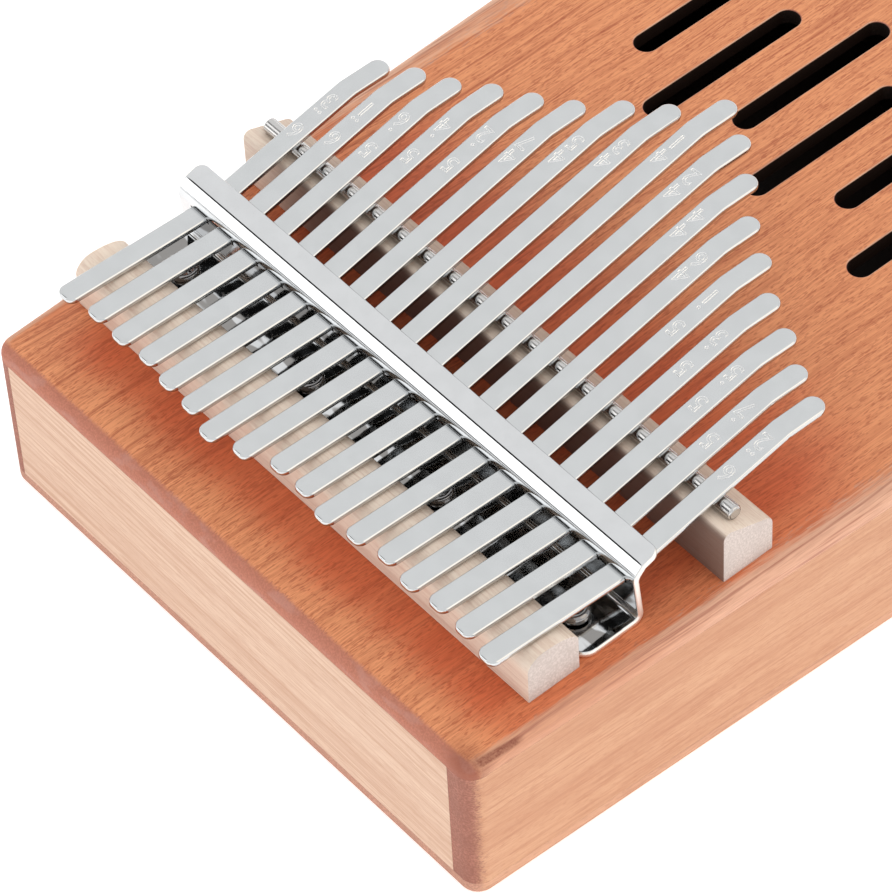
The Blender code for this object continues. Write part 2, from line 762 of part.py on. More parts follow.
def main():
    clear_scene()
    parts = make_collection(COLLECTION_NAME)
    cutters = make_collection(CUTTER_COLLECTION_NAME)
    woods = {
        "soundboard": make_material("soundboard_wood", (0.46, 0.16, 0.08), 0.5),
        "side": make_material("side_wood", (0.72, 0.42, 0.27), 0.55),
        "end": make_material("end_wood", (0.80, 0.60, 0.45), 0.6),
        "back": make_material("back_wood", (0.60, 0.36, 0.24), 0.6),
        "brace": make_material("brace_wood", (0.70, 0.55, 0.40), 0.7),
    }
    materials = {
        "bridge": make_material("bridge_wood", (0.72, 0.62, 0.50), 0.65),
        "rod": make_material("rod_steel", (0.62, 0.62, 0.62), 0.2, 1.0),
        "bracket": make_material("bracket_chrome", (0.78, 0.79, 0.80), 0.08, 1.0),
        "screw": make_material("screw_steel", (0.45, 0.45, 0.46), 0.25, 1.0),
        "tine": make_material("tine_steel", (0.72, 0.73, 0.74), 0.15, 1.0),
    }
    slots = slot_cutters(cutters)
    holes = screw_hole_cutters(cutters)
    wall_slots = wall_slot_cutter(cutters)
    build_box(parts, woods, slots, holes)
    build_bridges(parts, cutters, materials)
    build_bracket(parts, materials["bracket"], holes, wall_slots)
    build_screws(parts, materials["screw"])
    build_tines(parts, materials["tine"])


if __name__ == "__main__":
    main()
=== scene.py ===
"""Mbira maker: builds the finished look of a seventeen-tine mbira over its packed frame.

Metres, +Z up. X runs across the tines, Y from the tail end to the front end.
Patterns and small sizes are worked out in millimetres.
"""

import math

import bmesh
import bpy
from bpy.props import FloatProperty, FloatVectorProperty, PointerProperty
from mathutils import Matrix, Vector


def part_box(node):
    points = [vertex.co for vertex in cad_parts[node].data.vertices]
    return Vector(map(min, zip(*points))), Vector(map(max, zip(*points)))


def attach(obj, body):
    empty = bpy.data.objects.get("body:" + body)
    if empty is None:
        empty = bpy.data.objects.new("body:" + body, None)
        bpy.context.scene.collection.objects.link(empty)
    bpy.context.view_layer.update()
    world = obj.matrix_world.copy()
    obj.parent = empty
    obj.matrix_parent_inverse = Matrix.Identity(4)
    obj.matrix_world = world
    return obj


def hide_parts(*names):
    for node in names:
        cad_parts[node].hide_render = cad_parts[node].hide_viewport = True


bl_info = {
    "name": "Mbira Maker",
    "version": (1, 0, 0),
    "blender": (4, 5, 0),
    "location": "View3D > Sidebar > Mbira",
    "description": "Builds a seventeen-tine mbira: slotted box, bridges, bent bracket and tines",
    "category": "Add Mesh",
}

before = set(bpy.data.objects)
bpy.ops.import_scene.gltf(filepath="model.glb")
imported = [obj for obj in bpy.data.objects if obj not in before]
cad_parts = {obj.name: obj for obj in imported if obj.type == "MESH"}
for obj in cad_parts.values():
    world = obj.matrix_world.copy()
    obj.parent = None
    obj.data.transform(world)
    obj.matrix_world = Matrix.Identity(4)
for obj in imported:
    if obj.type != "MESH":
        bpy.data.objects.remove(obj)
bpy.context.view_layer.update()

MM = 0.001
CLEAR = 2 * MM  # how far a cutter reaches past what it cuts
BOX_BODY = "box"
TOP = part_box("soundboard")[1].z
TINE_COUNT = sum(1 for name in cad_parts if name.startswith("tine_") and name[5:].isdigit())
MIDDLE = (TINE_COUNT - 1) // 2
MIDDLE_TINE = "tine_%02d" % (MIDDLE + 1)
TINE_ASKEW = (  # degrees each hand-set tine sits off its line, swung towards +X
    0.25, -0.25, -0.55, -0.6, -0.4, -0.35, -0.4, -0.45, -0.4, -0.2, -0.2, -0.4, -0.3, -0.2,
    0.2, 0.0, -0.15,
)
TINE_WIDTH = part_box(MIDDLE_TINE)[1].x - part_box(MIDDLE_TINE)[0].x
HALF_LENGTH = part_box("soundboard")[1].y
SCREWS = ["bracket_screw_%d" % index for index in range(1, 5)]


# ---- Settings ----

def length(description, default):
    return FloatProperty(
        description=description, default=default * MM, min=0.0, subtype="DISTANCE"
    )


def angle(description, default):
    return FloatProperty(
        description=description, default=math.radians(default), subtype="ANGLE"
    )


def colour(*default):
    return FloatVectorProperty(default=default, size=3, min=0.0, max=1.0, subtype="COLOR")


class MbiraBoxSettings(bpy.types.PropertyGroup):
    """Sizes of the sound box"""

    tail_width: length("Width of the box at its tail end", 131.0)
    front_width: length("Width of the box at its front end", 147.0)
    board: length("Thickness of the right side board", 5.8)
    left_board: length("Thickness of the planed-down left side board", 4.1)
    corner: length("Rounding of the box's upright corners", 3.5)
    top_rounding: length("Rounding of the soundboard's rim", 2.7)
    back_rounding: length("Rounding of the back plate's rim", 1.0)
    seam: length("Gap that shows between two glued boards", 0.02)
    slot_width: length("Width of a sound slot", 4.9)
    slot_length: length("Length of a sound slot", 38.5)
    slot_pitch: length("Distance from slot to slot", 13.7)
    slot_margin: length("From the front end to the outer slots", 13.0)
    slot_stagger: length("How far every other slot lies back", 10.0)
    slot_rounding: length("Rounding of the slots' upper edges", 0.35)


class MbiraBridgeSettings(bpy.types.PropertyGroup):
    """Sizes of the two bridges and the rod"""

    left_reach: length("How much further both bridges reach on the left", 1.0)
    dome: length("Height of the rear bridge's domed top", 3.2)
    crest: FloatProperty(
        description="Place of the rear bridge's crest across its depth", default=0.33,
        min=0.1, max=0.9, subtype="FACTOR",
    )
    slope: angle("Fall of the front bridge's top", 21.0)
    rear_rounding: length("Rounding of the front bridge's crest", 2.2)
    front_rounding: length("Rounding of its front edge", 1.5)
    rod_reach: length("How much further the rod reaches on the left", 1.4)
    rod_play: length("Groove left open past each end of the rod", 1.2)
    rod_gap: length("Gap around the rod in its groove", 0.12)
    rod_edge: length("Rounding of the rod's ends", 0.45)
    glue: length("Gap between the bridges and the soundboard", 0.05)
    eased: length("Rounding of the bridges' end edges", 0.25)


class MbiraBracketSettings(bpy.types.PropertyGroup):
    """Sizes of the bent bracket"""

    seat: length("Gap between the bracket's foot and the soundboard", 0.05)
    left_reach: length("How much further the bracket reaches on the left", 1.2)
    sheet: length("Thickness of the bracket's sheet", 1.3)
    foot: length("From the foot's edge to the wall", 12.9)
    lean: angle("How far the wall leans back over the foot", 5.6)
    band_foot: length("Height of the band's lower edge above the box", 12.3)
    band: length("Length of the sloping band", 3.2)
    band_angle: angle("Rise of the band", 47.0)
    flange: length("Length of the top flange", 4.1)
    flange_angle: angle("Rise of the flange", 16.5)
    foot_bend: length("Radius of the bend from foot to wall", 1.6)
    band_bend: length("Radius of the bend from wall to band", 2.4)
    flange_bend: length("Radius of the bend from band to flange", 0.9)
    sheet_edge: length("Rounding of the sheet's edges", 0.5)
    slot_edge: length("Rounding of the slots' and holes' edges", 0.16)
    foot_corner: length("Rounding of the foot's corners", 3.0)
    flange_corner: length("Rounding of the flange's corners", 2.0)
    slot_low: length("Height of the tine slots' lower edge", 9.7)
    slot_high: length("Height of the tine slots' upper edge", 11.12)
    slot_play: length("Gap at each side of a tine in its slot", 0.25)


class MbiraScrewSettings(bpy.types.PropertyGroup):
    """Sizes of the bracket's pan-head screws"""

    head: length("Height of a screw's head", 1.7)
    dome: length("Rounding of the head's upper edge", 1.1)
    shank: length("Radius of the shank under the head", 1.25)
    point: length("Length of the tapered point", 2.0)
    hole: length("Radius of the holes in the bracket's foot", 1.55)
    recess: length("From the middle of the head to the end of a recess arm", 1.55)
    recess_width: length("Half the width of a recess arm", 0.35)
    recess_depth: length("Depth of the cross recess", 0.9)
    edge: length("Rounding of the head's and the recess's edges", 0.1)


class MbiraTineSettings(bpy.types.PropertyGroup):
    """Sizes of the tines and their marks"""

    thickness: length("Thickness of the strip on its left edge", 1.1)
    rest: length("Underside of a tine over the rear bridge", 11.0)
    hold: length("Underside of a tine in the bracket", 10.0)
    rise: angle("Slope of the tines from the bracket to their tips", 12.10)
    pitch: length("From tine to tine over the rear bridge", 7.0)
    fan: angle("Angle from each tine to the next", 0.085)
    tip_flat: length("Length of the level tip", 9.5)
    bend: length("Radius of each bend", 5.0)
    first_bend: length("From the bracket's rear edge to the tines' bend", 13.68)
    tail_corner: length("Rounding of the corners at the tail", 1.75)
    edge: length("Flattened rounding of the strip's edges", 0.42)
    tip_spare: length("Flat left at each side of the middle of the round tip", 0.06)
    burr: length("How far the strip stands out on its sheared right edge", 0.45)
    underside: length("How much lower the strip's underside sits", 0.28)
    mark_height: length("Height of the stamped numbers", 3.6)
    mark_stroke: length("Half the width of the numbers' outlines", 0.13)
    mark_start: length("From the tip to the first number", 13.6)
    mark_step: length("From one number to the next", 4.2)


class MbiraColours(bpy.types.PropertyGroup):
    """Colours of the woods and metals"""

    # For each wood: its face, its darker lines, its end grain and the pits in that.
    top_deep: colour(0.67, 0.138, 0.050)
    top_light: colour(0.82, 0.335, 0.152)
    top_pore: colour(0.33, 0.056, 0.021)
    top_end: colour(0.42, 0.155, 0.105)
    top_rubbed: colour(0.50, 0.25, 0.205)
    # Small dark marks near the tail's right corner.
    top_dark_mark: colour(0.22, 0.055, 0.030)
    rim_tail: colour(0.66, 0.35, 0.22)
    rim_front: colour(0.76, 0.46, 0.32)
    rim_line: colour(0.42, 0.18, 0.12)
    side: colour(0.67, 0.37, 0.222)
    side_line: colour(0.50, 0.22, 0.12)
    side_cut: colour(0.38, 0.155, 0.11)
    side_pit: colour(0.30, 0.115, 0.078)
    end: colour(0.76, 0.54, 0.40)
    end_line: colour(0.56, 0.32, 0.21)
    end_cut: colour(0.60, 0.36, 0.25)
    end_pit: colour(0.45, 0.24, 0.16)
    back: colour(0.70, 0.39, 0.245)
    back_line: colour(0.45, 0.20, 0.12)
    back_cut: colour(0.53, 0.275, 0.195)
    back_pit: colour(0.46, 0.23, 0.16)
    brace: colour(0.66, 0.50, 0.36)
    brace_line: colour(0.45, 0.30, 0.19)
    brace_cut: colour(0.55, 0.40, 0.28)
    brace_pit: colour(0.42, 0.28, 0.18)
    bridge: colour(0.87, 0.74, 0.62)
    bridge_line: colour(0.62, 0.43, 0.33)
    bridge_cut: colour(0.60, 0.53, 0.50)
    bridge_pit: colour(0.565, 0.49, 0.455)
    # Painted shade for the front bridge's back face.
    bridge_back_shade: colour(0.13, 0.055, 0.040)
    # Painted shade for what lies inside the box, and for the slot walls.
    inside: colour(0.014, 0.007, 0.005)
    tine: colour(0.640, 0.655, 0.662)
    bracket: colour(0.70, 0.71, 0.72)
    rod: colour(0.62, 0.61, 0.60)
    # Painted shade: the screws are painted darker than the other steel, for the dark their heads
    # mirror under the tines.
    screw: colour(0.30, 0.29, 0.29)
    mark: colour(0.90, 0.90, 0.90)
    mark_light: colour(0.96, 0.96, 0.95)
    sheared: colour(0.96, 0.93, 0.88)
    # Painted reflection: the dark patches on the bracket's foot.
    stain: colour(0.30, 0.29, 0.28)
    # Painted shade for the lower half of each tine's right edge.
    brown: colour(0.12, 0.10, 0.09)


# ---- Shader arithmetic ----

def put_on(thing, settings):
    for key, setting in settings.items():
        setattr(thing, key, setting)


class Value:
    """A socket that takes part in sums; each operator adds its Math node."""

    def __init__(self, recipe, socket):
        self.recipe = recipe
        self.socket = socket

    def math(self, operation, *others):
        sockets = {index: item for index, item in enumerate((self,) + others)}
        return self.recipe.node("ShaderNodeMath", {"operation": operation}, sockets)

    def __add__(self, other):
        return self.math("ADD", other)

    __radd__ = __add__

    def __sub__(self, other):
        return self.math("SUBTRACT", other)

    def __rsub__(self, other):
        return self.recipe.node(
            "ShaderNodeMath", {"operation": "SUBTRACT"}, {0: other, 1: self}
        )

    def __mul__(self, other):
        return self.math("MULTIPLY", other)

    __rmul__ = __mul__

    def most(self, other):
        return self.math("MAXIMUM", other)

    def size(self):
        return self.math("ABSOLUTE")

    def step(self, low, high):
        """0 below low and 1 above high, smooth between them; falls if low is above high."""
        if low > high:
            return 1.0 - self.step(high, low)
        return self.recipe.node(
            "ShaderNodeMapRange", {"interpolation_type": "SMOOTHSTEP"},
            {"Value": self, "From Min": low, "From Max": high},
        )


class Recipe:
    """A node tree under construction, for one material or for the world."""

    def __init__(self, owner):
        self.owner = owner
        owner.use_nodes = True
        self.tree = owner.node_tree
        self.tree.nodes.clear()

    def node(self, kind, settings=None, sockets=None, output=0):
        node = self.tree.nodes.new(kind)
        put_on(node, settings or {})
        for key, item in (sockets or {}).items():
            self.feed(node.inputs[key], item)
        return Value(self, node.outputs[output]) if node.outputs else None

    def feed(self, socket, item):
        if isinstance(item, Value):
            self.tree.links.new(item.socket, socket)
        elif socket.type == "RGBA" and len(item) == 3:
            socket.default_value = (*item, 1.0)
        else:
            socket.default_value = item

    def place(self):
        """Object coordinates in millimetres, as three separate values."""
        spot = self.node("ShaderNodeTexCoord", output="Object")
        return self.split(self.node(
            "ShaderNodeVectorMath", {"operation": "SCALE"}, {0: spot, "Scale": 1 / MM}
        ))

    def split(self, vector):
        first = self.node("ShaderNodeSeparateXYZ", sockets={0: vector})
        node = first.socket.node
        return first, Value(self, node.outputs[1]), Value(self, node.outputs[2])

    def facing(self):
        """The surface's own direction, as three separate values."""
        return self.split(self.node("ShaderNodeTexCoord", output="Normal"))

    def noise(self, x, y, z, detail=2.0, roughness=0.5):
        place = self.node("ShaderNodeCombineXYZ", sockets={0: x, 1: y, 2: z})
        return self.node("ShaderNodeTexNoise", sockets={
            "Vector": place, "Scale": 1.0, "Detail": detail, "Roughness": roughness,
        })

    def mix(self, share, first, second):
        """The first colour, with a share of the second."""
        return self.node(
            "ShaderNodeMix", {"data_type": "RGBA"}, {0: share, 6: first, 7: second}, output=2
        )

    def darken(self, base, dark, *shares):
        for share in shares:
            base = self.mix(share, base, dark)
        return base

    def bump(self, height, depth, strength):
        return self.node("ShaderNodeBump", sockets={
            "Height": height, "Distance": depth * MM, "Strength": strength,
        })

    def finish(self, sockets):
        shader = self.node("ShaderNodeBsdfPrincipled", sockets=sockets)
        self.node("ShaderNodeOutputMaterial", sockets={"Surface": shader})
        return self.owner


def new_recipe(name):
    return Recipe(bpy.data.materials.new(name))


# ---- Woods ----

def grain_marks(recipe, along, across, deep, run=1.0):
    """Marks that every wood here shares, each from 0 to 1.

    fine are hair-thin fibres, lines are darker growth lines, bands are broad shades of
    colour and pores are short dark dashes. run below 1 draws them out along the grain.
    """
    drift = (recipe.noise(across * 0.02, along * 0.012, deep * 0.02) - 0.5) * 7.0
    side = across + drift
    fine = recipe.noise(side * 3.3, along * 0.17 * run, deep * 3.3, detail=2.0)
    lines = recipe.noise(side * 1.4, along * 0.018 * run, deep * 1.4, detail=3.0, roughness=0.6)
    bands = recipe.noise(side * 0.16, along * 0.009 * run, deep * 0.16, detail=3.0)
    dashes = recipe.noise(side * 3.9, along * 0.62 * run, deep * 3.9, detail=1.0)
    crowd = recipe.noise(side * 0.35, along * 0.06 * run, deep * 0.35, detail=1.0)
    pores = (dashes + crowd * 0.25).step(0.66, 0.80)
    return fine.step(0.36, 0.64), lines.step(0.50, 0.68), bands, pores


def wood_surface(recipe, base, rough, relief):
    return recipe.finish({
        "Base Color": base, "Roughness": rough, "Specular IOR Level": 0.3,
        "Normal": recipe.bump(relief, 0.03, 0.6),
    })


def soundboard_wood(shades):
    recipe = new_recipe("soundboard_wood_finish")
    x, y, z = recipe.place()
    nx, ny, nz = recipe.facing()
    fine, lines, bands, pores = grain_marks(recipe, y, x, z)
    wander = (recipe.noise(x * 0.05, y * 0.03, z * 0.05, detail=2.0) - 0.5) * 14.0
    ragged = (pores - fine) * 1.5
    # Partly the wood's darker heart, partly painted shade: the top is painted darker from just
    # inside the tail rim to beyond the front bridge, where the tines and bridges shade it. It is
    # lighter again at its left and right edges, outside the row of tines.
    heart_and_shade = (y + wander * 0.3 + ragged).step(-91.5, -80.0) * (y + wander).step(17.0, -12.0)
    edges = x.step(-50.0, -60.0) * 0.5 + x.step(55.0, 62.0) * 0.22
    share = (1.03 - heart_and_shade * 0.85 + heart_and_shade * edges + (bands - 0.5) * 0.55).step(-0.05, 1.05)
    base = recipe.mix(share, shades.top_deep, shades.top_light)
    long_lines = x.step(40.0, -30.0) * 0.20 + 0.30
    base = recipe.darken(base, shades.top_pore, lines * long_lines, fine * 0.28, pores * 0.44)
    cut = (ny.size() + ragged * 0.05).step(0.12, 0.48)
    specks = recipe.noise(x * 2.6, y * 2.6, z * 2.6, detail=3.0).step(0.35, 0.72)
    dusty = tuple(part * 1.25 for part in shades.top_end)
    sawn = recipe.mix(specks, shades.top_end, dusty)
    rubbed = recipe.noise(x * 0.16, y * 0.16, z * 0.45, detail=3.0).step(0.50, 0.66)
    sawn = recipe.mix(rubbed * 0.55, sawn, shades.top_rubbed)
    base = recipe.mix(cut * 0.90, base, sawn)
    rim = (x.size() + ragged * 0.5).step(62.6, 66.0) * 0.30 + nx.size() + ragged * 0.04
    rim = rim.step(0.03, 0.46) * (1.0 - cut)
    along_rim = y.step(-62.0, -35.0)
    side = recipe.mix(along_rim, shades.rim_tail, shades.rim_front)
    side = recipe.mix(lines * 0.7 + fine * 0.25, side, shades.rim_line)
    base = recipe.mix(rim * 0.85, base, side)
    # Two small dark marks near the tail's right corner: a line along the rim, and a patch on the
    # top beside it.
    dark_mark = dark_rim_mark(x, y) * nx.size().step(0.92, 0.78)
    dark_mark = dark_mark.most(x.step(56.5, 63.0) * y.step(-86.0, -91.5) * 0.7)
    base = recipe.mix(dark_mark * (specks * 0.3 + 0.6), base, shades.top_dark_mark)
    # Painted shade: inside the box, the slot walls and the soundboard's underside are painted
    # nearly black.
    inner_shade = x.size().step(60.0, 52.0) * y.size().step(87.0, 84.0) * nz.step(0.80, 0.35)
    base = recipe.mix(inner_shade, base, shades.inside)
    rough = fine * 0.08 + 0.42 + cut * 0.2
    relief = pores * -0.8 - lines * 0.3 - fine * 0.2
    return wood_surface(recipe, base, rough, relief)


def dark_rim_mark(x, y):
    """A small dark mark on the rim beside the tail's right corner."""
    line = (y + 90.0) * 0.09 + 64.85
    return (x - line).size().step(1.2, 0.7) * y.step(-91.0, -89.5) * y.step(-79.8, -82.5)


def plain_wood(shades, wood, grain, contrast, run=1.0, hollow=False, backed=False):
    """Wood with its grain along X or Y, and its end grain where it is cut across.

    wood is the start of its colours' names. hollow paints nearly black shade on what faces into
    the box, and backed paints shade on the back face of a bridge, behind the tines' right half.
    """
    light, dark, end_light, end_dark = (
        getattr(shades, wood + suffix) for suffix in ("", "_line", "_cut", "_pit")
    )
    recipe = new_recipe(wood + "_wood_finish")
    x, y, z = recipe.place()
    facings = recipe.facing()
    along, across = (x, y) if grain == "X" else (y, x)
    cut_facing = facings[0] if grain == "X" else facings[1]
    slant = z + along * 0.016
    fine, lines, bands, pores = grain_marks(recipe, along, across, slant, run)
    base = recipe.mix(bands.step(0.60, 0.34) * contrast * 0.8, light, dark)
    streaks = recipe.noise(across * 1.5, along * 0.006, slant * 1.5, detail=3.0, roughness=0.7)
    base = recipe.darken(
        base, dark, streaks.step(0.54, 0.60) * contrast, lines * contrast,
        fine * contrast * 0.45, pores * contrast * 0.8,
    )
    cut = (cut_facing.size() + (pores - fine) * 0.16).step(0.18, 0.72)
    specks = recipe.noise(x * 2.4, y * 2.4, z * 2.4, detail=3.0).step(0.36, 0.70)
    faded = tuple(part * 1.18 for part in end_light)
    end_light = recipe.mix(bands.step(0.35, 0.60), end_light, faded)
    base = recipe.mix(cut, base, recipe.mix(specks, end_dark, end_light))
    if hollow:
        # Painted shade: faces that look into the box, and faces that look up, are painted nearly
        # black.
        inward = (facings[0] * x + facings[1] * y).step(-5.0, -20.0)
        base = recipe.mix(inward.most(facings[2].step(0.4, 0.7)), base, shades.inside)
    if backed:
        # Painted shade on the front bridge's back face, which the tines and the bracket shade.
        shaded = facings[1].step(-0.25, -0.98) * y.step(-45.0, -42.0) * x.step(-64.0, -40.0)
        base = recipe.mix(shaded * 0.8, base, shades.bridge_back_shade)
    rough = fine * 0.08 + 0.46 + cut * 0.15
    relief = pores * -0.7 - lines * 0.3 - fine * 0.2
    return wood_surface(recipe, base, rough, relief)


# ---- Metals ----

def chrome(shades, metal, roughness, grain=0.0, foot=None, shaded_edge=False):
    """Plated steel: faint cloudiness, hairline scratches and a trace of ripple.

    metal is its colour's name. foot is the height, in millimetres, that a sheet's uneven foot
    lies on; it makes the sheet's two cut ends rougher and paler, and paints dark patches of
    reflection onto the metal just above that height. browned paints shade on the lower half
    of a strip's right edge.
    """
    recipe = new_recipe(metal + "_finish")
    shade = getattr(shades, metal)
    x, y, z = recipe.place()
    cloud = recipe.noise(x * 0.25, y * 0.25, z * 0.25, detail=3.0)
    hair = recipe.noise(x * 9.0, y * 0.25, z * 9.0, detail=3.0)
    ripple = recipe.noise(x * 0.5, y * 0.35, z * 0.5, detail=1.0)
    dim = tuple(part * 0.965 for part in shade)
    base = recipe.mix(cloud.step(0.35, 0.65), dim, shade)
    rough = cloud * 0.05 + hair.step(0.55, 0.75) * grain + roughness
    nx, ny, nz = recipe.facing()
    if shaded_edge:
        # Painted shade: the lower half of the strip's right edge is painted dark brown, for the
        # dark wood it mirrors.
        lower_edge = nx.step(0.15, 0.45) * nz.step(0.02, -0.26)
        base = recipe.mix(lower_edge, base, shades.brown)
    if foot is not None:
        edge = nx.size().step(0.25, 0.60)
        base = recipe.mix(edge, base, shades.sheared)
        rough = rough + edge * 0.42
        dents = recipe.noise(x * 0.16, y * 0.30, z * 0.2, detail=0.0)
        ripple = ripple + dents * z.step(foot + 5.0, foot + 3.0) * 3.0
        # Painted reflection: patches of the foot just above the soundboard are painted dark, for
        # the dark that the foot mirrors.
        stain = recipe.noise(x * 0.11, y * 0.35, 0.0, detail=1.0)
        dark_patches = z.step(foot + 2.0, foot + 1.6) * stain.step(0.58, 0.50) * (1.0 - edge)
        base = recipe.mix(dark_patches, base, shades.stain)
    relief = ripple + hair * (0.02 + grain * 0.2)
    return recipe.finish({
        "Base Color": base, "Metallic": 1.0, "Roughness": rough,
        "Normal": recipe.bump(relief, 0.02, 0.5),
    })


def stamped_steel(shades):
    """Bright bare steel at the bottom of a stamped mark."""
    recipe = new_recipe("mark_finish")
    x, y, z = recipe.place()
    grit = recipe.noise(x * 3.0, y * 3.0, z * 3.0, detail=2.0)
    base = recipe.mix(grit.step(0.35, 0.65), shades.mark, shades.mark_light)
    return recipe.finish({
        "Base Color": base, "Metallic": 1.0, "Roughness": grit * 0.06 + 0.34,
    })


# ---- Modelling by hand, in code ----

def put_down():
    """Leave edit mode, with nothing selected."""
    if bpy.context.mode != "OBJECT":
        bpy.ops.object.mode_set(mode="OBJECT")
    bpy.ops.object.select_all(action="DESELECT")


def pick_only(piece):
    put_down()
    piece.select_set(True)
    bpy.context.view_layer.objects.active = piece


def choose(piece, kind="VERT", test=None):
    """Edit a piece, with only the points, edges or faces selected that pass a test."""
    if bpy.context.mode == "OBJECT" or bpy.context.object != piece:
        pick_only(piece)
        bpy.ops.object.mode_set(mode="EDIT")
    bpy.ops.mesh.select_mode(type=kind)
    bpy.ops.mesh.select_all(action="DESELECT" if test else "SELECT")
    if not test:
        return
    shell = bmesh.from_edit_mesh(piece.data)
    items = {"VERT": shell.verts, "EDGE": shell.edges, "FACE": shell.faces}[kind]
    found = [item for item in items if test(item)]
    if not found:
        raise RuntimeError("nothing to select on " + piece.name)
    for item in found:
        item.select_set(True)
    shell.select_flush_mode()
    bmesh.update_edit_mesh(piece.data, loop_triangles=False, destructive=False)


def settle(piece):
    """Leave the object at the origin, with its place in its mesh."""
    pick_only(piece)
    bpy.ops.object.transform_apply(location=True, rotation=True, scale=True)


def named(name):
    piece = bpy.context.object
    piece.name = name
    settle(piece)
    return piece


def block(name, low, high):
    put_down()
    low, high = Vector(low), Vector(high)
    bpy.ops.mesh.primitive_cube_add(size=1.0, location=(low + high) / 2)
    bpy.context.object.scale = high - low
    return named(name)


def cylinder(name, radius, depth, location, lying=False):
    """An upright cylinder, or a finer one that lies along X."""
    put_down()
    bpy.ops.mesh.primitive_cylinder_add(
        vertices=64 if lying else 48, radius=radius, depth=depth, location=location,
        rotation=(0.0, math.radians(90) if lying else 0.0, 0.0),
    )
    return named(name)


def middle_of(node):
    low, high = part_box(node)
    return (low + high) / 2


def upright(edge):
    first, last = (vert.co for vert in edge.verts)
    run = math.hypot(first.x - last.x, first.y - last.y)
    return run < 1e-6 and abs(first.z - last.z) > 1e-6


def move_by(offset):
    bpy.ops.transform.translate(value=offset)


def stretch(x, y, z, centre=(0.0, 0.0, 0.0)):
    bpy.ops.transform.resize(value=(x, y, z), center_override=centre)


def turn_up(turn, centre=(0.0, 0.0, 0.0)):
    """Turn what is selected about an axis along X; headless Blender turns it backwards."""
    bpy.ops.transform.rotate(value=-turn, orient_axis="X", center_override=centre)


def round_off(piece, test, radius, segments):
    """Round the edges of a piece that pass a test."""
    choose(piece, "EDGE", test)
    bpy.ops.mesh.bevel(
        offset_type="OFFSET", offset=radius, segments=segments, profile=0.5, affect="EDGES",
        clamp_overlap=False,
    )


def round_ends(blank, total, tail_radius, tip_radius):
    """Round the upright corners at the two ends of a flat blank."""
    for tail, radius in ((True, tail_radius), (False, tip_radius)):
        def at_end(edge):
            return upright(edge) and (edge.verts[0].co.y < total / 2) == tail

        round_off(blank, at_end, radius, 10)


def use_modifier(piece, kind, **settings):
    pick_only(piece)
    modifier = piece.modifiers.new(kind.lower(), kind)
    put_on(modifier, settings)
    bpy.ops.object.modifier_apply(modifier=modifier.name)


def ease_edges(piece, width, segments, sharpest, profile=0.5):
    """Round every edge that turns by more than an angle in degrees."""
    use_modifier(
        piece, "BEVEL", width=width, segments=segments, profile=profile, limit_method="ANGLE",
        angle_limit=math.radians(sharpest),
    )


def merge_close(piece, distance):
    """Merge points that lie closer together than a distance."""
    choose(piece)
    bpy.ops.mesh.remove_doubles(threshold=distance)


def cut_away(piece, *cutters, keep_material=False):
    """Take shapes out of a piece, all at once, and drop them."""
    pick_only(cutters[0])
    if len(cutters) > 1:
        for cutter in cutters:
            cutter.select_set(True)
        bpy.ops.object.join()
    use_modifier(
        piece, "BOOLEAN", operation="DIFFERENCE", solver="EXACT", object=cutters[0],
        material_mode="TRANSFER" if keep_material else "INDEX", use_self=keep_material,
    )
    bpy.data.objects.remove(cutters[0], do_unlink=True)


def copy_of(piece, name):
    twin = bpy.data.objects.new(name, piece.data.copy())
    bpy.context.scene.collection.objects.link(twin)
    return twin


def hand_over(piece, finish, node, body=BOX_BODY, smooth=32.0):
    """Smooth a finished piece, give it its material and its body, and hide the CAD part it
    stands in for.
    """
    pick_only(piece)
    bpy.ops.object.shade_smooth_by_angle(angle=math.radians(smooth))
    use_modifier(piece, "WEIGHTED_NORMAL", weight=80, keep_sharp=True)
    if not piece.data.materials:
        piece.data.materials.append(finish)
    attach(piece, body)
    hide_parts(node)


def reach_left(piece, spare):
    """Draw out the left end of a piece that runs from side to side."""
    choose(piece, "VERT", lambda vert: vert.co.x < 0)
    move_by((-spare, 0.0, 0.0))


# ---- The sound box ----

class MBIRA_OT_soundboard(bpy.types.Operator):
    """Make the soundboard: wedge outline, rounded rim and staggered slots"""

    bl_idname = "mbira.soundboard"
    bl_label = "Soundboard"

    def execute(self, context):
        sizes = context.scene.mbira_box
        low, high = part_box("soundboard")
        piece = wedge(sizes, "slotted_soundboard", low.z, high.z)
        round_rim(piece, high.z, sizes.top_rounding, 8)
        cut_away(piece, *slot_row(sizes, high.y, high.z))
        round_rim(piece, high.z, sizes.slot_rounding, 3)
        finish = soundboard_wood(context.scene.mbira_colours)
        hand_over(piece, finish, "soundboard")
        return {"FINISHED"}


def wedge(sizes, name, low, high):
    """A plate with the box's outline, wider at the front than at the tail."""
    half = sizes.tail_width / 2
    piece = block(name, (-half, -HALF_LENGTH, low), (half, HALF_LENGTH, high))
    choose(piece, "VERT", lambda vert: vert.co.y > 0)
    stretch(sizes.front_width / sizes.tail_width, 1.0, 1.0)
    round_off(piece, upright, sizes.corner, 10)
    return piece


def round_rim(piece, level, radius, segments):
    """Round the edges at a height where the plate meets an upright wall."""
    def on_rim(edge):
        if any(abs(vert.co.z - level) > 1e-6 for vert in edge.verts):
            return False
        return min(abs(face.normal.z) for face in edge.link_faces) < 0.5

    round_off(piece, on_rim, radius, segments)


def slot_row(sizes, front, level):
    """Cutters for the sound slots, at even pitch, with every other one further back."""
    half = sizes.slot_width / 2
    cutters = []
    for index in range(-3, 4):
        far = front - sizes.slot_margin
        if index % 2 == 0:
            far -= sizes.slot_stagger
        middle = index * sizes.slot_pitch
        cutter = block(
            "slot_cutter",
            (middle - half, far - sizes.slot_length, level - 4 * CLEAR),
            (middle + half, far, level + 2 * CLEAR),
        )
        round_off(cutter, upright, half - 0.01 * MM, 12)
        cutters.append(cutter)
    return cutters


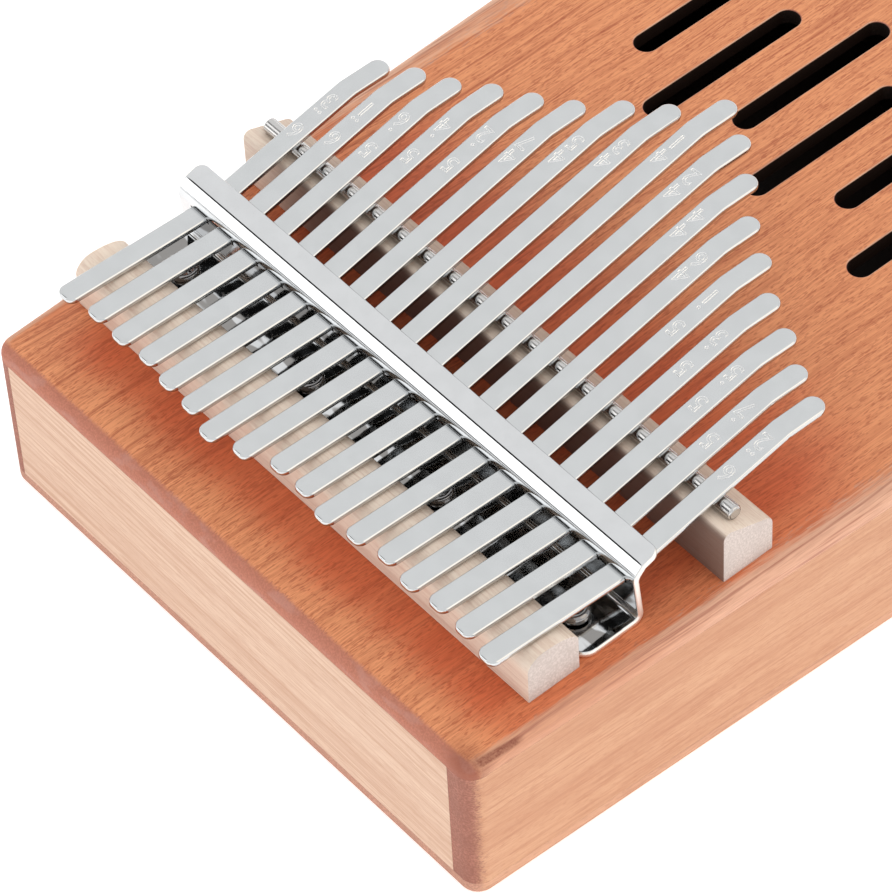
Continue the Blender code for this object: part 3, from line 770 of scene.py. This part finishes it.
class MBIRA_OT_boards(bpy.types.Operator):
    """Make the side boards, the end boards and the back plate"""

    bl_idname = "mbira.boards"
    bl_label = "Sides, Ends and Back"

    def execute(self, context):
        sizes = context.scene.mbira_box
        shades = context.scene.mbira_colours
        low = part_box("back_plate")[1].z + sizes.seam
        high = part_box("soundboard")[0].z - sizes.seam
        side_finish = plain_wood(shades, "side", "Y", 0.45, hollow=True)
        for side, node, board in (
            (-1, "left_side_board", sizes.left_board), (1, "right_side_board", sizes.board)
        ):
            piece = self.side_board(sizes, node, side, board, low, high)
            hand_over(piece, side_finish, node)
        end_finish = plain_wood(shades, "end", "X", 0.58, 0.5, hollow=True)
        for node in ("tail_end_board", "front_end_board"):
            piece = self.end_board(sizes, node, low, high)
            reach_left(piece, sizes.board - sizes.left_board)
            hand_over(piece, end_finish, node)
        back_low, back_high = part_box("back_plate")
        back = wedge(sizes, "back_plate_piece", back_low.z, back_high.z)
        round_rim(back, back_low.z, sizes.back_rounding, 6)
        back_finish = plain_wood(shades, "back", "Y", 0.45, hollow=True)
        hand_over(back, back_finish, "back_plate")
        brace_finish = plain_wood(shades, "brace", "X", 0.4)
        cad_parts["bridge_brace"].data.materials[0] = brace_finish
        return {"FINISHED"}

    def side_board(self, sizes, node, side, board, low, high):
        outer = side * sizes.tail_width / 2
        left, right = sorted((outer, outer - side * board))
        piece = block(
            node + "_piece", (left, -HALF_LENGTH, low), (right, HALF_LENGTH, high)
        )
        choose(piece, "VERT", lambda vert: vert.co.y > 0)
        spread = side * (sizes.front_width - sizes.tail_width) / 2
        move_by((spread, 0.0, 0.0))
        middle = outer - side * board / 2

        def outer_corner(edge):
            offset = spread if edge.verts[0].co.y > 0 else 0.0
            return upright(edge) and (edge.verts[0].co.x - offset - middle) * side > 0

        round_off(piece, outer_corner, sizes.corner, 10)
        return piece

    def end_board(self, sizes, node, low, high):
        back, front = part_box(node)[0].y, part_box(node)[1].y
        spread = (sizes.front_width - sizes.tail_width) / 2

        def half(place):
            share = (place + HALF_LENGTH) / (2 * HALF_LENGTH)
            return sizes.tail_width / 2 + spread * share - sizes.board - sizes.seam

        piece = block(node + "_piece", (-half(back), back, low), (half(back), front, high))
        choose(piece, "VERT", lambda vert: vert.co.y > (back + front) / 2)
        stretch(half(front) / half(back), 1.0, 1.0)
        return piece


# ---- Bridges and rod ----

class MBIRA_OT_bridges(bpy.types.Operator):
    """Make the domed rear bridge, the sloping front bridge and the rod in its groove"""

    bl_idname = "mbira.bridges"
    bl_label = "Bridges and Rod"

    def execute(self, context):
        sizes = context.scene.mbira_bridges
        shades = context.scene.mbira_colours
        finish = plain_wood(shades, "bridge", "X", 0.30, backed=True)
        for node, piece in (
            ("rear_bridge", self.rear_bridge(sizes)), ("front_bridge", self.front_bridge(sizes))
        ):
            reach_left(piece, sizes.left_reach)
            hand_over(piece, finish, node)
        rod = self.rod(sizes)
        reach_left(rod, sizes.rod_reach)
        hand_over(rod, chrome(shades, "rod", 0.05, 0.02), "bridge_rod")
        return {"FINISHED"}

    def rear_bridge(self, sizes):
        low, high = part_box("rear_bridge")
        crest = low.y + sizes.crest * (high.y - low.y)
        shoulder = high.z - sizes.dome
        centre = (0.0, crest, shoulder)
        piece = cylinder("rear_bridge_piece", 1.0, high.x - low.x, centre, lying=True)
        for way, reach in ((-1, crest - low.y), (1, high.y - crest)):
            choose(piece, "VERT", lambda vert: (vert.co.y - crest) * way > 1e-5)
            stretch(1.0, reach, 1.0, centre)
        choose(piece, "VERT", lambda vert: vert.co.z > shoulder + 1e-5)
        stretch(1.0, 1.0, sizes.dome, centre)
        choose(piece, "VERT", lambda vert: vert.co.z < shoulder - 1e-5)
        wider = 1.005  # the foot is a hair wider than the shoulder
        stretch(1.0, wider, 0.0, centre)
        move_by((0.0, 0.0, TOP - shoulder + sizes.glue))
        round_off(piece, lambda edge: self.end_edge(edge, high.x), sizes.eased, 2)
        return piece

    def end_edge(self, edge, reach):
        """Edges around a bar's two ends, but not where it stands on the soundboard."""
        if any(abs(abs(vert.co.x) - reach) > 1e-6 for vert in edge.verts):
            return False
        return max(vert.co.z for vert in edge.verts) > TOP + 1 * MM

    def front_bridge(self, sizes):
        low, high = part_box("front_bridge")
        half_corner = (math.pi / 2 - sizes.slope) / 2
        rear_top = high.z - sizes.rear_rounding + sizes.rear_rounding / math.tan(half_corner)
        drop = (high.y - low.y) * math.tan(sizes.slope)
        piece = block(
            "front_bridge_piece", (low.x, low.y, TOP + sizes.glue), (high.x, high.y, rear_top)
        )
        choose(
            piece, "VERT",
            lambda vert: vert.co.y > high.y - 1e-6 and vert.co.z > rear_top - 1e-6,
        )
        move_by((0.0, 0.0, -drop))
        for back, radius in ((low.y, sizes.rear_rounding), (high.y, sizes.front_rounding)):
            round_off(piece, lambda edge: self.long_top_edge(edge, back), radius, 8)
        round_off(piece, lambda edge: self.end_edge(edge, high.x), sizes.eased, 2)
        cut_away(piece, self.round_bar("groove_cutter", sizes.rod_gap, 2 * sizes.rod_play))
        return piece

    def round_bar(self, name, thicker=0.0, longer=0.0):
        low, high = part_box("bridge_rod")
        radius = (high.z - low.z) / 2 + thicker
        spot = middle_of("bridge_rod")
        return cylinder(name, radius, high.x - low.x + longer, spot, lying=True)

    def long_top_edge(self, edge, back):
        first, last = (vert.co for vert in edge.verts)
        if abs(first.x - last.x) < 10 * MM or min(first.z, last.z) < TOP + 2 * MM:
            return False
        return abs(first.y - back) < 1e-6 and abs(last.y - back) < 1e-6

    def rod(self, sizes):
        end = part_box("bridge_rod")[1].x
        piece = self.round_bar("bridge_rod_piece")
        round_off(piece, lambda edge: self.end_edge(edge, end), sizes.rod_edge, 4)
        return piece


# ---- Bent sheet ----

class FoldPlan:
    """Works out a flat blank, and its folds, from the corners of the bent middle line."""

    def __init__(self, corners, radii):
        self.corners = corners
        self.folds = []
        self.starts = [0.0]
        reach = 0.0
        last_tangent = 0.0
        for index, radius in enumerate(radii, 1):
            before = corners[index] - corners[index - 1]
            after = corners[index + 1] - corners[index]
            turn = math.atan2(before.x * after.y - before.y * after.x, before.dot(after))
            tangent = radius * math.tan(abs(turn) / 2)
            start = reach + before.length - last_tangent - tangent
            arc = radius * abs(turn)
            self.folds.append((start, arc, turn))
            reach = start + arc
            last_tangent = tangent
            self.starts.append(reach - tangent)
        self.total = reach + (corners[-1] - corners[-2]).length - last_tangent

    def stations(self, steps):
        """Fold lines, from the far end back to the start, each with its share of the turn."""
        lines = []
        for start, arc, turn in self.folds:
            for step in range(steps):
                lines.append((start + arc * (step + 0.5) / steps, turn / steps))
        return sorted(lines, reverse=True)


def shifted_path(corners, offset):
    """Corners of a path moved square to itself, to the left of its run."""
    corners = [Vector(corner) for corner in corners]
    lines = []
    for before, after in zip(corners, corners[1:]):
        run = (after - before).normalized()
        side = Vector((-run.y, run.x)) * offset
        lines.append((before + side, after + side))
    moved = [lines[0][0]]
    for (a, b), (c, d) in zip(lines, lines[1:]):
        u, v = b - a, d - c
        share = ((c.x - a.x) * v.y - (c.y - a.y) * v.x) / (u.x * v.y - u.y * v.x)
        moved.append(a + u * share)
    moved.append(lines[-1][1])
    return moved


def fold_blank(piece, plan, steps):
    """Fold a flat blank that starts at Y = 0, with its middle plane at Z = 0."""
    lines = plan.stations(steps)
    for place, _ in lines:
        choose(piece)
        bpy.ops.mesh.bisect(plane_co=(0, place, 0), plane_no=(0, 1, 0))
    pick_only(piece)
    flat = [vert.co.y for vert in piece.data.vertices]
    for place, turn in lines:
        choose(piece, "VERT", lambda vert: flat[vert.index] > place + 1e-7)
        turn_up(turn, (0.0, place, 0.0))


def rear_crest():
    """World Y of the rear bridge's crest, which the tines fan out from."""
    low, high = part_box("rear_bridge")
    return low.y + bpy.context.scene.mbira_bridges.crest * (high.y - low.y)


def tine_across(sizes, offset, place):
    """World X of a tine's centre line at a world Y; offset counts from the middle tine."""
    return offset * sizes.pitch + (place - rear_crest()) * math.tan(offset * sizes.fan)


class MBIRA_OT_bracket(bpy.types.Operator):
    """Make the bracket: a slotted blank, bent into foot, wall, band and flange"""

    bl_idname = "mbira.bracket"
    bl_label = "Tine Bracket"

    def execute(self, context):
        sizes = context.scene.mbira_bracket
        low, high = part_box("tine_bracket")
        plan, wall = self.plan(sizes)
        piece = self.blank(sizes, plan, high.x)
        self.open_slots(piece, sizes, context.scene.mbira_tines, plan, wall)
        self.open_screw_holes(piece, low.y, context.scene.mbira_screws.hole)
        ease_edges(piece, sizes.slot_edge, 2, 50)
        fold_blank(piece, plan, 8)
        piece.location = (0.0, low.y, TOP + plan.corners[0].y)
        settle(piece)
        finish = chrome(context.scene.mbira_colours, "bracket", 0.03, foot=TOP / MM)
        hand_over(piece, finish, "tine_bracket", smooth=40.0)
        return {"FINISHED"}

    def plan(self, sizes):
        """The bracket's folds, from the corners of its upper and rear face."""
        foot_top = sizes.seat + sizes.sheet
        lean = (sizes.band_foot - foot_top) * math.tan(sizes.lean)
        face = [(0.0, foot_top), (sizes.foot, foot_top), (sizes.foot - lean, sizes.band_foot)]
        face = [Vector(corner) for corner in face]
        for run, rise in ((sizes.band, sizes.band_angle), (sizes.flange, sizes.flange_angle)):
            face.append(face[-1] + Vector((run * math.cos(rise), run * math.sin(rise))))
        middle = shifted_path(face, -sizes.sheet / 2)
        return FoldPlan(middle, [sizes.foot_bend, sizes.band_bend, sizes.flange_bend]), middle

    def blank(self, sizes, plan, reach):
        half = sizes.sheet / 2
        left = -reach - sizes.left_reach
        piece = block("tine_bracket_piece", (left, 0.0, -half), (reach, plan.total, half))
        round_ends(piece, plan.total, sizes.foot_corner, sizes.flange_corner)
        ease_edges(piece, sizes.sheet_edge, 6, 60)
        return piece

    def open_slots(self, piece, sizes, tines, plan, corners):
        rise = math.cos(sizes.lean)
        low, high = (
            plan.starts[1] + (height - corners[1].y) / rise
            for height in (sizes.slot_low, sizes.slot_high)
        )
        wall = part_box("tine_bracket")[0].y + sizes.foot
        cutters = []
        for offset in range(-MIDDLE, MIDDLE + 1):
            centre = tine_across(tines, offset, wall)
            reach = TINE_WIDTH / 2 + sizes.slot_play
            cutters.append(block(
                "slot_cutter", (centre - reach, low, -CLEAR),
                (centre + reach + tines.burr, high, CLEAR),
            ))
        cut_away(piece, *cutters)

    def open_screw_holes(self, piece, foot, radius):
        cutters = []
        for node in SCREWS:
            middle = middle_of(node)
            place = (middle.x, middle.y - foot, 0.0)
            cutters.append(cylinder("hole_cutter", radius, 2 * CLEAR, place))
        cut_away(piece, *cutters)


class MBIRA_OT_screws(bpy.types.Operator):
    """Make the pan-head screws that hold the bracket's foot"""

    bl_idname = "mbira.screws"
    bl_label = "Bracket Screws"

    def execute(self, context):
        sizes = context.scene.mbira_screws
        low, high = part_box(SCREWS[0])
        centre = middle_of(SCREWS[0])
        radius = (high.x - low.x) / 2
        seat = high.z - sizes.head
        master = cylinder(
            "bracket_screw_piece_1", radius, sizes.head,
            (centre.x, centre.y, high.z - sizes.head / 2),
        )

        def on_top(edge):
            return all(vert.co.z > high.z - 1e-6 for vert in edge.verts)

        round_off(master, on_top, sizes.dome, 6)
        choose(master, "FACE", lambda face: face.normal.z < -0.9)
        bpy.ops.mesh.inset(thickness=radius - sizes.shank, depth=0.0)
        for drop in (low.z + sizes.point - seat, -sizes.point):
            bpy.ops.mesh.extrude_region_move(TRANSFORM_OT_translate={"value": (0.0, 0.0, drop)})
        blunt = 0.12  # the point's width as a share of the shank's
        stretch(blunt, blunt, 1.0, (centre.x, centre.y, low.z))
        arm = (sizes.recess_width, sizes.recess)
        recess = [
            block(
                "recess_cutter",
                (centre.x - across, centre.y - along, high.z - sizes.recess_depth),
                (centre.x + across, centre.y + along, high.z + CLEAR / 2),
            )
            for across, along in (arm, arm[::-1])
        ]
        for cutter in recess:
            cut_away(master, cutter)
        ease_edges(master, sizes.edge, 2, 40)
        finish = chrome(context.scene.mbira_colours, "screw", 0.10, 0.03)
        twins = [copy_of(master, "bracket_screw_piece_%d" % index) for index in (2, 3, 4)]
        for node, screw in zip(SCREWS, [master] + twins):
            middle = middle_of(node)
            screw.location = (middle.x - centre.x, middle.y - centre.y, 0.0)
            settle(screw)
            hand_over(screw, finish, node)
        return {"FINISHED"}


# ---- Tines ----

DIGIT_SIZE = 1.35  # size of the font over the height of its digits

# Note numbers of the tines from the left, and their octaves as dots
NOTES = ("3", "1", "6", "4", "2", "7", "5", "3", "1", "2", "4", "6", "1", "3", "5", "7", "2")
OCTAVES = (2, 2, 1, 1, 1, 0, 0, 0, 0, 0, 0, 0, 1, 1, 1, 1, 2)


class MBIRA_OT_tines(bpy.types.Operator):
    """Make the tines: round-ended strips, bent, cut to length and stamped"""

    bl_idname = "mbira.tines"
    bl_label = "Tines"

    def execute(self, context):
        sizes = context.scene.mbira_tines
        low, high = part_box(MIDDLE_TINE)
        master, flat_tip = self.bent_strip(sizes, low, high)
        shades = context.scene.mbira_colours
        finish = chrome(shades, "tine", 0.12, 0.06, shaded_edge=True)
        mark = stamped_steel(shades)
        slope = Vector((0.0, 1.0, math.tan(sizes.rise)))
        fall = Vector((0.0, 1.0, -self.tail_fall(sizes)))
        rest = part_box("rear_bridge")[0].y
        for offset in range(-MIDDLE, MIDDLE + 1):
            node = "tine_%02d" % (offset + MIDDLE + 1)
            left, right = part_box(node)
            tine = copy_of(master, node + "_piece")
            if offset:
                choose(tine, "VERT", lambda vert: vert.co.y > flat_tip - sizes.bend)
                move_by(slope * (right.y - high.y))
                choose(tine, "VERT", lambda vert: vert.co.y < rest)
                move_by(fall * (left.y - low.y))
            tine.data.materials.append(finish)
            tine.data.materials.append(mark)
            self.stamp(tine, sizes, offset + MIDDLE, mark)
            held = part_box("tine_bracket")[0].y + context.scene.mbira_bracket.foot
            askew = math.radians(TINE_ASKEW[offset + MIDDLE])
            tine.matrix_world = (
                Matrix.Translation((tine_across(sizes, offset, held), held, 0.0))
                @ Matrix.Rotation(-offset * sizes.fan - askew, 4, "Z")
                @ Matrix.Translation((0.0, -held, 0.0))
            )
            settle(tine)
            hand_over(tine, finish, node, body=node, smooth=40.0)
        bpy.data.objects.remove(master, do_unlink=True)
        return {"FINISHED"}

    def first_bend(self, sizes):
        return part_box("tine_bracket")[0].y + sizes.first_bend

    def tail_fall(self, sizes):
        """How steeply the straight tail falls from the rear bridge's crest to the bracket."""
        return (sizes.rest - sizes.hold) / (self.first_bend(sizes) - rear_crest())

    def bent_strip(self, sizes, low, high):
        """The middle tine: a flat strip with round ends, then its two bends."""
        half = sizes.thickness / 2
        width = high.x - low.x
        right = width / 2 + sizes.burr
        bend = self.first_bend(sizes)
        tail_height = sizes.hold + (bend - low.y) * self.tail_fall(sizes)
        tip_bend = high.y - sizes.tip_flat
        tip_height = sizes.hold + (tip_bend - bend) * math.tan(sizes.rise)
        under = [
            (low.y, tail_height), (bend, sizes.hold), (tip_bend, tip_height),
            (high.y, tip_height),
        ]
        middle = shifted_path(under, half)
        plan = FoldPlan(middle, [sizes.bend] * 2)
        strip = block(
            "tine_strip", (-width / 2, 0.0, -half - sizes.underside), (right, plan.total, half)
        )
        tip_corner = (width / 2 + right) / 2 - sizes.tip_spare
        round_ends(strip, plan.total, sizes.tail_corner, tip_corner)
        ease_edges(strip, sizes.edge, 5, 60, profile=0.42)
        fold_blank(strip, plan, 6)
        choose(strip)
        turn_up(-math.atan(self.tail_fall(sizes)))
        strip.location = (0.0, middle[0].x, TOP + middle[0].y)
        settle(strip)
        return strip, tip_bend

    def stamp(self, tine, sizes, index, mark):
        """Cut the note's number, its octave dots and its octave into the tine's slope."""
        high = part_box("tine_%02d" % (index + 1))[1]
        slope = sizes.rise
        bend = high.y - sizes.tip_flat
        marks = [NOTES[index]]
        if OCTAVES[index]:
            marks.append("." * OCTAVES[index])
        marks.append(str(4 + OCTAVES[index]))
        cutters = []
        for row, text in enumerate(marks):
            from_tip = sizes.mark_start + row * sizes.mark_step - sizes.tip_flat
            spot = Vector((
                0.0, bend - from_tip * math.cos(slope), high.z - from_tip * math.sin(slope)
            ))
            cutters.append(self.raised_text(text, sizes, spot, slope, mark))
        before = len(tine.data.polygons)
        cut_away(tine, *cutters, keep_material=True)
        if len(tine.data.polygons) <= before:
            raise RuntimeError("the marks were not cut into " + tine.name)
        merge_close(tine, 0.003 * MM)

    def raised_text(self, text, sizes, spot, slope, mark):
        put_down()
        bpy.ops.object.text_add(location=(0, 0, 0))
        letters = bpy.context.object
        put_on(letters.data, {
            "body": text, "align_x": "CENTER", "align_y": "CENTER", "fill_mode": "NONE",
            "size": sizes.mark_height * DIGIT_SIZE, "resolution_u": 3,
            "bevel_depth": sizes.mark_stroke, "bevel_resolution": 0,
        })
        bpy.ops.object.convert(target="MESH")
        letters = bpy.context.object
        letters.matrix_world = (
            Matrix.Translation(spot)
            @ Matrix.Rotation(slope, 4, "X")
            @ Matrix.Rotation(math.pi, 4, "Z")
        )
        settle(letters)
        merge_close(letters, 0.001 * MM)
        bpy.ops.mesh.normals_make_consistent(inside=False)
        letters.data.materials.append(mark)
        return letters


# ---- Stage ----

LENS = 202.47983  # millimetres, on a sensor 36 mm wide
LENS_PLACE = (0.45717, -0.40002, 0.71146)
LENS_AIM = (-0.50779, 0.39753, -0.76428)
LENS_ROLL = -3.5475  # degrees


class MBIRA_OT_stage(bpy.types.Operator):
    """Set the pale floor, the soft studio light and the camera"""

    bl_idname = "mbira.stage"
    bl_label = "Stage"

    def execute(self, context):
        self.floor()
        self.world(context.scene)
        self.camera(context.scene)
        context.scene.view_settings.view_transform = "Standard"
        context.scene.view_settings.look = "None"
        return {"FINISHED"}

    def floor(self):
        put_down()
        bpy.ops.mesh.primitive_plane_add(size=6.0, location=(0.0, 0.0, -0.02 * MM))
        floor = bpy.context.object
        floor.name = "studio_floor"
        recipe = new_recipe("floor_finish")
        x, y, z = recipe.place()
        paper = recipe.noise(x * 0.5, y * 0.5, z, detail=2.0)
        base = recipe.mix(paper, (0.90, 0.90, 0.90), (0.93, 0.93, 0.93))
        floor.data.materials.append(recipe.finish({
            "Base Color": base, "Roughness": 0.9, "Emission Color": (1.0, 1.0, 1.0),
            "Emission Strength": 0.5,
        }))

    def world(self, scene):
        world = bpy.data.worlds.new("studio")
        scene.world = world
        recipe = Recipe(world)
        way = recipe.node("ShaderNodeTexCoord", output="Generated")

        def lamp(direction, inner, outer):
            """1 within an angle of a direction, falling to 0 at a wider angle."""
            aim = Vector(direction).normalized()
            near = recipe.node(
                "ShaderNodeVectorMath", {"operation": "DOT_PRODUCT"}, {0: way, 1: tuple(aim)},
                output="Value",
            )
            return near.step(math.cos(math.radians(outer)), math.cos(math.radians(inner)))

        up = recipe.split(way)[2]
        sky = 0.91 + up.step(0.2, 0.7) * 0.07
        glow = lamp((-0.51, -0.79, 0.34), 10, 20)
        window = lamp((0.76, 0.40, 0.50), 16, 32)
        # Two dark gaps between the lights, which the chrome mirrors.
        gap = lamp((-0.508, -0.53, 0.679), 8, 13) * 0.985
        seam = lamp((-0.508, -0.848, 0.155), 3, 6) * 0.9
        strength = (sky + glow + window * 0.7) * (1.0 - gap.most(seam))
        tint = recipe.mix(window, (1.0, 1.0, 1.0), (1.0, 0.92, 0.82))
        shader = recipe.node(
            "ShaderNodeBackground", sockets={"Color": tint, "Strength": strength}
        )
        recipe.node("ShaderNodeOutputWorld", sockets={"Surface": shader})

    def camera(self, scene):
        data = bpy.data.cameras.new("studio_camera")
        put_on(data, {
            "sensor_fit": "HORIZONTAL", "sensor_width": 36.0, "lens": LENS, "clip_end": 20.0,
        })
        camera = bpy.data.objects.new("studio_camera", data)
        scene.collection.objects.link(camera)
        level = Vector(LENS_AIM).to_track_quat("-Z", "Y").to_matrix().to_4x4()
        roll = Matrix.Rotation(math.radians(LENS_ROLL), 4, "Z")
        camera.matrix_world = Matrix.Translation(LENS_PLACE) @ level @ roll
        scene.camera = camera


# ---- Sidebar and registration ----

OPERATORS = (
    MBIRA_OT_soundboard, MBIRA_OT_boards, MBIRA_OT_bridges, MBIRA_OT_bracket,
    MBIRA_OT_screws, MBIRA_OT_tines, MBIRA_OT_stage,
)
SETTINGS = {
    "mbira_box": MbiraBoxSettings,
    "mbira_bridges": MbiraBridgeSettings,
    "mbira_bracket": MbiraBracketSettings,
    "mbira_screws": MbiraScrewSettings,
    "mbira_tines": MbiraTineSettings,
    "mbira_colours": MbiraColours,
}


class MBIRA_PT_maker(bpy.types.Panel):
    """Sidebar panel with the mbira's sizes, colours and steps"""

    bl_idname = "MBIRA_PT_maker"
    bl_label = "Mbira Maker"
    bl_space_type = "VIEW_3D"
    bl_region_type = "UI"
    bl_category = "Mbira"

    def draw(self, context):
        for name, group in SETTINGS.items():
            column = self.layout.column(align=True)
            column.label(text=group.__doc__)
            for key in group.__annotations__:
                label = key.replace("_", " ").capitalize()
                column.prop(getattr(context.scene, name), key, text=label)
        for operator in OPERATORS:
            self.layout.operator(operator.bl_idname)


CLASSES = tuple(SETTINGS.values()) + OPERATORS + (MBIRA_PT_maker,)


def register():
    for item in CLASSES:
        bpy.utils.register_class(item)
    for name, group in SETTINGS.items():
        setattr(bpy.types.Scene, name, PointerProperty(type=group))


def unregister():
    for name in SETTINGS:
        delattr(bpy.types.Scene, name)
    for item in reversed(CLASSES):
        bpy.utils.unregister_class(item)


def main():
    register()
    bpy.ops.mbira.soundboard()
    bpy.ops.mbira.boards()
    bpy.ops.mbira.bridges()
    bpy.ops.mbira.bracket()
    bpy.ops.mbira.screws()
    bpy.ops.mbira.tines()
    bpy.ops.mbira.stage()


if __name__ == "__main__":
    main()
